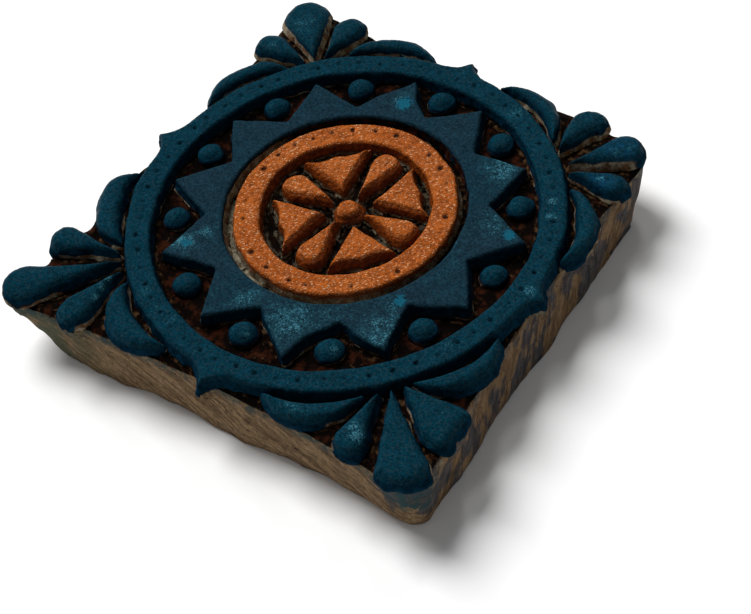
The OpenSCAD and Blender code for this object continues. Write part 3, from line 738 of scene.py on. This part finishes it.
class PrintBlockDyes(bpy.types.PropertyGroup):
    """Colours of dyes and wood, some of them painted shade and highlights."""

    teal: dye("Teal", "Blue-green dye on the tops", (0.0015, 0.0260, 0.0430))
    teal_grey: dye("Grey teal", "Greyer dye on the tops", (0.0090, 0.0245, 0.0375))
    teal_haze: dye("Hazy teal", "Thin grey haze on the tops", (0.0170, 0.0400, 0.0540))
    # Wall dye, darker than the tops as partly painted shade
    teal_wall_shaded: dye("Teal wall", "Dye on the walls", (0.0015, 0.0190, 0.0360))
    turquoise: dye("Turquoise", "Dye where it is rubbed thin", (0.016, 0.088, 0.120))
    # Painted glints on the teal tops
    pale_glint: dye("Pale fleck", "Flecks in rubbed dye", (0.060, 0.200, 0.260))
    # Painted highlight spots on the tops
    bright: dye("Bright", "Spots of bright blue-green", (0.007, 0.095, 0.150))
    pure_blue: dye("Pure blue", "Purer blue dye", (0.003, 0.048, 0.120))
    # Painted shade inside the teal pits
    pit: dye("Pit", "Inside of the teal pits", (0.0010, 0.0070, 0.0120))
    orange: dye("Orange", "Dye on the medallion", (0.385, 0.094, 0.013))
    orange_deep: dye("Deep orange", "Thicker dye on the medallion", (0.315, 0.070, 0.008))
    # Darker than the tops as painted shade
    orange_wall_shaded: dye("Orange wall", "Dye on the walls of the medallion", (0.17, 0.035, 0.005))
    # Painted glints on the medallion
    orange_glint: dye("Orange fleck", "Pale flecks on the medallion", (0.80, 0.50, 0.28))
    # Painted shade inside the orange pits
    orange_pit_shade: dye("Orange pit", "Inside of the orange pits", (0.050, 0.015, 0.006))
    bare_wood: dye("Bare wood", "Scraped wood at the feet of the walls", (0.250, 0.215, 0.150))
    bare_brown: dye("Bare brown", "Browner scraped wood", (0.130, 0.068, 0.033))
    # Dark ground, also used as painted shade near the feet of the relief
    dark_ground_and_shade: dye("Dark ground", "Dirty ground", (0.0028, 0.0018, 0.0014))
    ground_red: dye("Red ground", "Red-brown ground", (0.032, 0.009, 0.004))
    ground_pale: dye("Pale ground", "Chipped ground", (0.085, 0.045, 0.020))
    side_wood: dye("Side wood", "Bare wood of the sides", (0.325, 0.214, 0.115))
    side_dark: dye("Dark side wood", "Dark grain of the sides", (0.150, 0.096, 0.052))
    side_green: dye("Green side wood", "Greenish wood of the sides", (0.086, 0.096, 0.060))
    dye_stain: dye("Dye stain", "Blue dye on the sides", (0.031, 0.049, 0.072))
    rim_stain: dye("Rim stain", "Dye along the upper edge of the sides", (0.030, 0.065, 0.070))
    knot: dye("Knot", "Small knots in the sides", (0.020, 0.014, 0.010))
    pin_wood: dye("Pin wood", "Wood of the pins", (0.52, 0.36, 0.19))
    pin_dark: dye("Dark pin wood", "Grain of the pins", (0.34, 0.21, 0.10))


class PrintBlockStage(bpy.types.PropertyGroup):
    """Light, floor and camera."""

    floor: dye("Floor", "Colour of the floor", (0.97, 0.97, 0.97))
    floor_white: bpy.props.FloatProperty(
        name="Floor white", description="What the camera sees added to the floor's own colour", default=0.035,
    )
    floor_reach: length("Floor reach", "Half the width of the floor", 4.0)
    key: bpy.props.FloatProperty(
        name="Key", description="Power of the key light", default=452.0, unit="POWER",
    )
    key_wide: length("Key width", "Width of the key light, along the front of the block", 3.4)
    key_deep: length("Key depth", "Depth of the key light", 2.7)
    key_spot: bpy.props.FloatVectorProperty(
        name="Key spot", description="Place of the key light", default=(-3.7, 1.30, 4.55),
        subtype="TRANSLATION",
    )
    glint: bpy.props.FloatProperty(
        name="Glint", description="Power of the small light that makes the dye glint", default=0.7,
        unit="POWER",
    )
    glint_size: length("Glint size", "Width of the small light", 0.10)
    glint_spot: bpy.props.FloatVectorProperty(
        name="Glint spot", description="Place of the small light", default=(-0.18, 0.58, 0.66),
        subtype="TRANSLATION",
    )
    sky: bpy.props.FloatProperty(
        name="Sky", description="Strength of the light from all around", default=0.13,
    )
    lens: bpy.props.FloatProperty(
        name="Lens", description="Focal length of the camera", default=98.389, unit="CAMERA",
    )
    camera_spot: bpy.props.FloatVectorProperty(
        name="Camera", description="Place of the camera", default=(0.24198, -0.24763, 0.39389),
        subtype="TRANSLATION",
    )
    camera_turn: bpy.props.FloatVectorProperty(
        name="Camera turn", description="Turn of the camera",
        default=tuple(math.radians(a) for a in (39.403, 7.582, 34.542)), subtype="EULER",
    )


# Operators

def pushed_foot(points):
    """Shift in plan that brings the foot of the front and right sides to its line on the floor."""
    lower = np.clip(1.0 - points[:, 2] / GROUND, 0.0, 1.0)
    out_front = ease(-points[:, 1], *SIDE_START) * np.interp(points[:, 0], *zip(*FRONT_FOOT))
    out_right = ease(points[:, 0], *SIDE_START) * np.interp(points[:, 1], *zip(*RIGHT_FOOT))
    return np.stack([lower * out_right, -lower * out_front], axis=1)


def board_marks(points, normals):
    """Values for the board's finish: the part each point belongs to and what marks it."""
    x, y, z = points.T
    front = ease(-y, 50.0, 56.0)
    right = ease(x, 48.0, 56.0) * (1.0 - front)
    corner = ease(x - y, 104.0, 118.0)
    apart = points[:, :2] - MEDALLION_MIDDLE
    from_middle = np.linalg.norm(apart, axis=1)
    bare_side = ease(np.cos(np.arctan2(apart[:, 1], apart[:, 0]) - BARE_SIDE), -0.1, 0.5)
    knot = np.zeros(len(points))
    for knot_x, knot_z in KNOTS:
        knot = np.maximum(knot, np.exp(-((x - knot_x) / 1.2) ** 2 - ((z - knot_z) / 0.9) ** 2))
    left_end = front * (1.0 - ease(x, -52.0, -22.0))
    return {
        "ground": ease(z, GROUND - 2.0, GROUND - 1.0) * ease(normals[:, 2], 0.2, 0.7),
        "rim": ease(z + 7.0 * corner, GROUND - 4.0, GROUND - 1.2) * (0.95 + 0.25 * corner),
        "stain": (0.42 + 0.40 * ease(y, 25.0, 45.0)) * right + corner * ease(z, 2.0, 10.0),
        "well": 1.0 - ease(from_middle, 21.5, 22.5),
        "strip": (1.0 - ease(np.abs(from_middle - MEDALLION_R - 0.9), 0.8, 1.5)) * bare_side,
        "green": np.maximum(left_end, 0.7 * corner * ease(z, 6.0, 14.0)),
        "knot": knot * front,
        "right": right,
    }


class PRINTBLOCK_OT_board(bpy.types.Operator):
    """Carve the board: uneven sides, rounded rim and a ground full of tool marks"""

    bl_idname = "printblock.board"
    bl_label = "Board"

    def execute(self, context):
        carving = context.scene.printblock_carving
        # The sides swell out under the relief pieces that reach the edge
        swell = [(node, (RELIEF + 0.4) / MM) for node in PETALS + CRESCENTS + ["dotted_ring"]]
        piece = even_copy([("block_body", 0.0)] + swell, "block_body_carved", carving.board_voxel)
        mesh = piece.data
        edges = read_edges(mesh)
        points = read_points(mesh)
        normals = read_normals(mesh)
        rim_points = board_rim()
        side = (1.0 - ease(np.abs(normals[:, 2]), 0.5, 0.9)) * (nearest(points, rim_points)[1] < 9.0)
        smooth = softened(points, edges, BOARD_ROUNDS)
        points += (1.0 - 0.75 * ease(normals[:, 2], 0.5, 0.9))[:, None] * (smooth - points)
        write_points(mesh, points)
        normals = read_normals(mesh)
        upward = ease(normals[:, 2], 0.4, 0.8)
        rim = nearest(points, rim_points)[1]

        marks = 0.6 * ripple(points, 5.0, 31) + 0.4 * ripple(points, 1.7, 32) - 0.25
        points[:, 2] += upward * carving.ground_rough * MM * marks
        drop = RIM_DROP + 0.6 * ripple(points, 3.0, 33)
        points[:, 2] -= upward * drop * (1.0 - ease(rim, 0.0, RIM_WIDTH)) ** 2

        rough = 0.8 * ripple(points, 17.0, 41) + 0.45 * ripple(points * [1.0, 1.0, 0.5], 4.5, 42)
        rough += 0.22 * ripple(points * [1.0, 1.0, 0.4], 1.8, 43)
        points[:, :2] += normals[:, :2] * (side * carving.side_rough * MM * (rough - 0.35))[:, None]
        low = (1.0 - ease(points[:, 2], 0.0, BOTTOM_HEIGHT)) ** 2 * (1.0 + 0.8 * ripple(points, 9.0, 44))
        points[:, :2] -= normals[:, :2] * (side * BOTTOM_WEAR * low)[:, None]
        points[:, 2] = np.maximum(points[:, 2], 0.0)
        points[:, :2] += pushed_foot(points)
        smooth = softened(points, edges, FOOT_ROUNDS)
        points += (1.0 - ease(points[:, 2], 3.0, 7.0))[:, None] * (smooth - points)
        points[:, 2] = np.maximum(points[:, 2], 0.0)
        standing = ["dotted_ring", "star_ring", "medallion_ring"] + PETALS + CRESCENTS + FLOWER
        # Closeness to the feet of the relief, which paints shade and scrapes on the ground
        feet = np.concatenate([wall_line(node, 1.0) for node in standing])
        foot = 1.0 - ease(nearest(points, feet)[1], 0.3, 2.4)
        points = hand_wobble(strayed(points, "block_body"), carving.wobble * MM)
        write_points(mesh, points)

        keep_values(mesh, foot=foot, **board_marks(points, normals))
        settle(piece, "block_body", finish_for("board_wood"))
        return {"FINISHED"}


class PRINTBLOCK_OT_dotted_ring(bpy.types.Operator):
    """Carve the dotted ring with its pits and spurs"""

    bl_idname = "printblock.dotted_ring"
    bl_label = "Dotted ring"

    def execute(self, context):
        edge = context.scene.printblock_carving.teal_round
        pits = hand_pits(*RING_LINE, np.arange(0.0, 360.0, 6.0), 0.75, 5)
        carve("dotted_ring", "teal_dye", edge, seed=101, line=RING_LINE, pits=pits, bare=0.15)
        return {"FINISHED"}


class PRINTBLOCK_OT_star(bpy.types.Operator):
    """Carve the star"""

    bl_idname = "printblock.star"
    bl_label = "Star"

    def execute(self, context):
        edge = context.scene.printblock_carving.teal_round
        carve("star_ring", "teal_dye", edge, seed=201, bare=0.15, grey=0.85)
        return {"FINISHED"}


class PRINTBLOCK_OT_beads(bpy.types.Operator):
    """Carve the beads in the notches of the star"""

    bl_idname = "printblock.beads"
    bl_label = "Beads"

    def execute(self, context):
        edge = context.scene.printblock_carving.teal_round
        for i, node in enumerate(BEADS):
            carve(node, "teal_dye", edge, drop=0.2, seed=301 + 7 * i, bare=0.12, rim_from=0.3)
        return {"FINISHED"}


class PRINTBLOCK_OT_petals(bpy.types.Operator):
    """Carve the petals of the corner fans"""

    bl_idname = "printblock.petals"
    bl_label = "Petals"

    def execute(self, context):
        edge, lean = context.scene.printblock_carving.pillow, context.scene.printblock_carving.lean
        for i, node in enumerate(PETALS):
            carve(node, "teal_dye", edge, drop=0.7, seed=501 + 7 * i, bare=0.34, lean=lean)
        return {"FINISHED"}


class PRINTBLOCK_OT_crescents(bpy.types.Operator):
    """Carve the crescents beside the dotted ring"""

    bl_idname = "printblock.crescents"
    bl_label = "Crescents"

    def execute(self, context):
        carving = context.scene.printblock_carving
        for i, node in enumerate(CRESCENTS):
            carve(
                node, "teal_dye", carving.pillow, drop=0.7, seed=701 + 7 * i, bare=0.34,
                hollow=carving.hollow,
            )
        return {"FINISHED"}


class PRINTBLOCK_OT_medallion_ring(bpy.types.Operator):
    """Carve the ring of the medallion with its pits"""

    bl_idname = "printblock.medallion_ring"
    bl_label = "Medallion ring"

    def execute(self, context):
        edge = context.scene.printblock_carving.orange_round
        depth = [1.0] * len(DEEP_PITS) + [0.3] * len(FAINT_PITS)
        pits = hand_pits(MEDALLION_MIDDLE, MEDALLION_PITS_R, DEEP_PITS + FAINT_PITS, depth, 9)
        carve(
            "medallion_ring", "orange_dye", edge, seed=901,
            line=MEDALLION_LINE, pits=pits, pebble=PEBBLE_DEPTH,
        )
        return {"FINISHED"}


class PRINTBLOCK_OT_flower(bpy.types.Operator):
    """Carve the hub, teardrops and tulip petals of the medallion"""

    bl_idname = "printblock.flower"
    bl_label = "Flower"

    def execute(self, context):
        edge = context.scene.printblock_carving.orange_round
        carve("medallion_hub", "orange_dye", 2.2 * edge, seed=951, pebble=PEBBLE_DEPTH)
        for i, node in enumerate(FLOWER):
            carve(
                node, "orange_dye", edge, seed=961 + 7 * i, pebble=PEBBLE_DEPTH,
                lean=1.7 * edge,
            )
        return {"FINISHED"}


class PRINTBLOCK_OT_pins(bpy.types.Operator):
    """Give the hidden pins their wood"""

    bl_idname = "printblock.pins"
    bl_label = "Pins"

    def execute(self, context):
        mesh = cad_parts["locating_pins"].data
        mesh.materials.clear()
        mesh.materials.append(finish_for("pin_wood"))
        return {"FINISHED"}


class PRINTBLOCK_OT_stage(bpy.types.Operator):
    """Set up the floor, the light and the camera"""

    bl_idname = "printblock.stage"
    bl_label = "Stage"

    def execute(self, context):
        stage = context.scene.printblock_stage
        scene = context.scene
        scene.view_settings.view_transform = "Standard"

        reach = stage.floor_reach
        mesh = bpy.data.meshes.new("floor")
        corners = [(-reach, -reach, 0), (reach, -reach, 0), (reach, reach, 0), (-reach, reach, 0)]
        mesh.from_pydata(corners, [], [(0, 1, 2, 3)])
        floor = bpy.data.objects.new("floor", mesh)
        floor.location.z = -FLOOR_GAP
        scene.collection.objects.link(floor)
        mesh.materials.append(self.paper(stage))

        world = bpy.data.worlds.new("studio")
        world.use_nodes = True
        sky = world.node_tree.nodes["Background"]
        sky.inputs["Color"].default_value = (1.0, 1.0, 1.0, 1.0)
        sky.inputs["Strength"].default_value = stage.sky
        scene.world = world

        key = bpy.data.lights.new("key", "AREA")
        key.shape = "RECTANGLE"
        key.size, key.size_y = stage.key_wide, stage.key_deep
        key.energy = stage.key
        self.lamp(key, Vector(stage.key_spot)).visible_glossy = False
        glint = bpy.data.lights.new("glint", "AREA")
        glint.energy = stage.glint
        glint.size = stage.glint_size
        self.lamp(glint, Vector(stage.glint_spot))

        lens = bpy.data.cameras.new("photo_view")
        lens.lens = stage.lens
        lens.sensor_width = 36.0
        lens.clip_start, lens.clip_end = 0.01, 20.0
        camera = bpy.data.objects.new("photo_view", lens)
        camera.location = stage.camera_spot
        camera.rotation_euler = stage.camera_turn
        scene.collection.objects.link(camera)
        scene.camera = camera
        return {"FINISHED"}

    def lamp(self, light, spot):
        """Lamp at a spot, turned to the block, with its width along the front."""
        lamp = bpy.data.objects.new(light.name, light)
        lamp.location = spot
        toward = spot.normalized()
        wide = (Vector((1.0, 0.0, 0.0)) - toward * toward.x).normalized()
        lamp.rotation_euler = Matrix((wide, toward.cross(wide), toward)).transposed().to_euler()
        bpy.context.scene.collection.objects.link(lamp)
        return lamp

    def paper(self, stage):
        """Pale floor that the camera sees as white where no shadow falls."""
        material = bpy.data.materials.new("floor_paper")
        material.use_nodes = True
        tree = material.node_tree
        tree.nodes.clear()
        paper = tree.nodes.new("ShaderNodeBsdfDiffuse")
        paper.inputs["Color"].default_value = (*stage.floor, 1.0)
        path = tree.nodes.new("ShaderNodeLightPath")
        seen = tree.nodes.new("ShaderNodeMath")
        seen.operation = "MAXIMUM"
        tree.links.new(path.outputs["Is Camera Ray"], seen.inputs[0])
        tree.links.new(path.outputs["Is Glossy Ray"], seen.inputs[1])
        share = tree.nodes.new("ShaderNodeMath")
        share.operation = "MULTIPLY"
        share.inputs[1].default_value = stage.floor_white
        tree.links.new(seen.outputs[0], share.inputs[0])
        glow = tree.nodes.new("ShaderNodeEmission")
        tree.links.new(share.outputs[0], glow.inputs["Strength"])
        both = tree.nodes.new("ShaderNodeAddShader")
        tree.links.new(paper.outputs[0], both.inputs[0])
        tree.links.new(glow.outputs[0], both.inputs[1])
        output = tree.nodes.new("ShaderNodeOutputMaterial")
        tree.links.new(both.outputs[0], output.inputs["Surface"])
        return material


class PRINTBLOCK_PT_sidebar(bpy.types.Panel):
    """Pieces and settings of the printing block"""

    bl_label = "Printing block"
    bl_idname = "PRINTBLOCK_PT_sidebar"
    bl_space_type = "VIEW_3D"
    bl_region_type = "UI"
    bl_category = "Printing block"

    def draw(self, context):
        for operator in OPERATORS:
            self.layout.operator(operator.bl_idname)
        for name in GROUPS:
            group = getattr(context.scene, name)
            column = self.layout.column()
            for setting in group.__annotations__:
                column.prop(group, setting)


GROUPS = {
    "printblock_carving": PrintBlockCarving,
    "printblock_dyes": PrintBlockDyes,
    "printblock_stage": PrintBlockStage,
}
OPERATORS = (
    PRINTBLOCK_OT_stage, PRINTBLOCK_OT_board, PRINTBLOCK_OT_dotted_ring, PRINTBLOCK_OT_star,
    PRINTBLOCK_OT_beads, PRINTBLOCK_OT_petals, PRINTBLOCK_OT_crescents, PRINTBLOCK_OT_medallion_ring,
    PRINTBLOCK_OT_flower, PRINTBLOCK_OT_pins,
)


def register():
    for group in (*GROUPS.values(), *OPERATORS, PRINTBLOCK_PT_sidebar):
        bpy.utils.register_class(group)
    for name, group in GROUPS.items():
        setattr(bpy.types.Scene, name, bpy.props.PointerProperty(type=group))


def unregister():
    for name in GROUPS:
        delattr(bpy.types.Scene, name)
    for group in reversed((*GROUPS.values(), *OPERATORS, PRINTBLOCK_PT_sidebar)):
        bpy.utils.unregister_class(group)


def main():
    register()
    bpy.ops.printblock.stage()
    bpy.ops.printblock.board()
    bpy.ops.printblock.dotted_ring()
    bpy.ops.printblock.star()
    bpy.ops.printblock.beads()
    bpy.ops.printblock.petals()
    bpy.ops.printblock.crescents()
    bpy.ops.printblock.medallion_ring()
    bpy.ops.printblock.flower()
    bpy.ops.printblock.pins()


if __name__ == "__main__":
    main()
